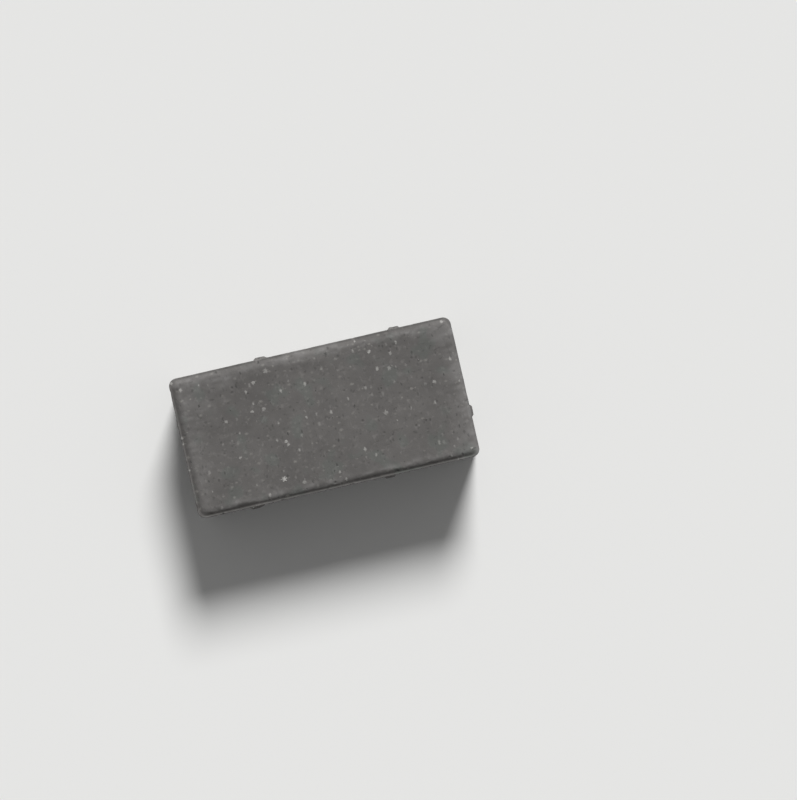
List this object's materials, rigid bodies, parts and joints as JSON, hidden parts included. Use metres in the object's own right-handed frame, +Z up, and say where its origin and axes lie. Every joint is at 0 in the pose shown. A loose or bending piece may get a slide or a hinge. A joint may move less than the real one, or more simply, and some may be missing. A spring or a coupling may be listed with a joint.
{
  "type": "concrete paving stone",
  "caption": "Rectangular pressed concrete paving stone with a flat walking face, sloped and rounded top edges on a narrow land, and upright spacer ribs on its sides.",
  "frame": {"origin": "middle of the bed face, on the ground plane", "axes": "+X along the stone's length, +Y across its width, +Z up to the walking face"},
  "size_m": [0.202, 0.102, 0.06],
  "materials": {
    "concrete": "dark grey pressed concrete, fine sandy face with light and dark specks"
  },
  "bodies": {
    "root": {"paving_stone": "concrete"}
  },
  "joints": []
}
